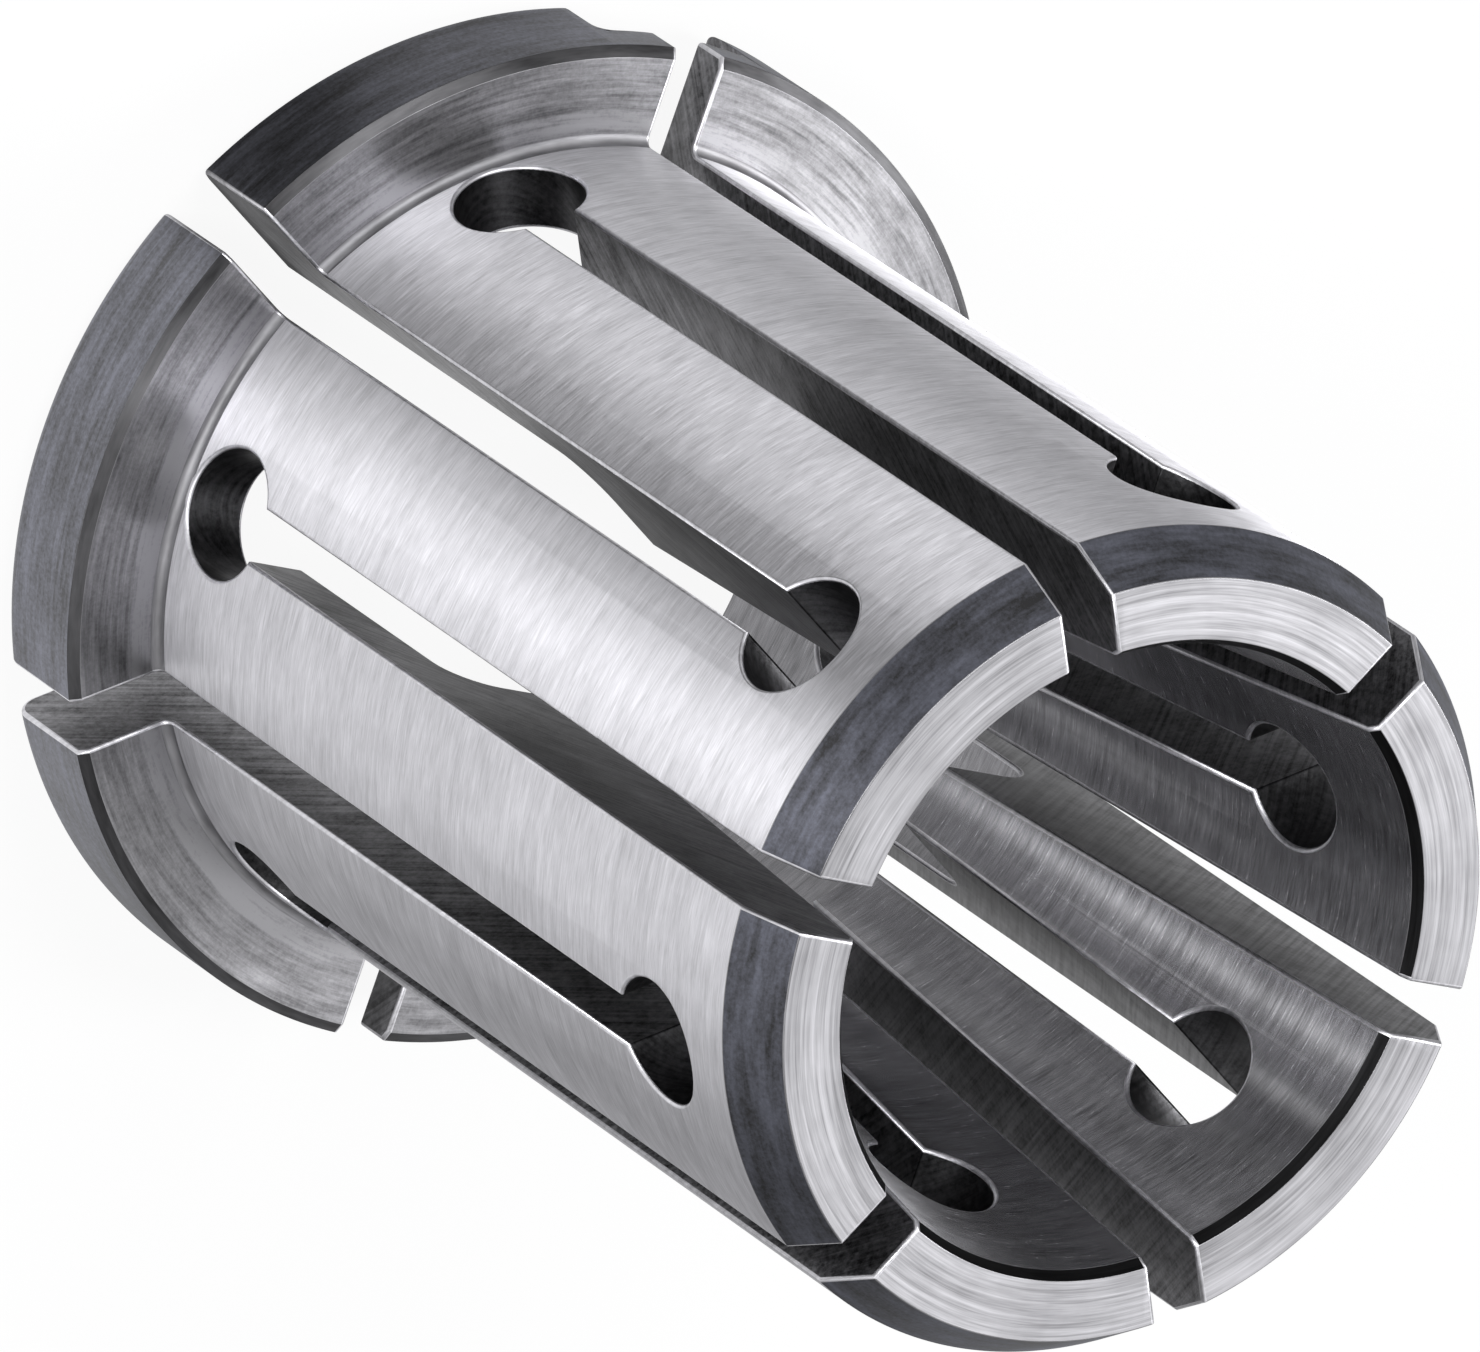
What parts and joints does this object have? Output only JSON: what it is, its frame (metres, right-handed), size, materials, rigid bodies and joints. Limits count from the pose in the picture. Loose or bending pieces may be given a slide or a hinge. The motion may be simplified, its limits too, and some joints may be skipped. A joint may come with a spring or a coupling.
{
  "type": "clamping sleeve",
  "caption": "Slotted steel clamping sleeve with a flange, a tapered bore and a drive slot; a cone in the bore spreads it to grip a workpiece from inside.",
  "frame": {"origin": "centre of the flange's back face, on the sleeve's axis", "axes": "+Z along the sleeve's axis from the flange to the front end, +X along the drive slot in the back face"},
  "size_m": [0.033, 0.033, 0.0394],
  "materials": {
    "steel": "satin"
  },
  "bodies": {
    "root": {"sleeve": "steel"}
  },
  "joints": []
}
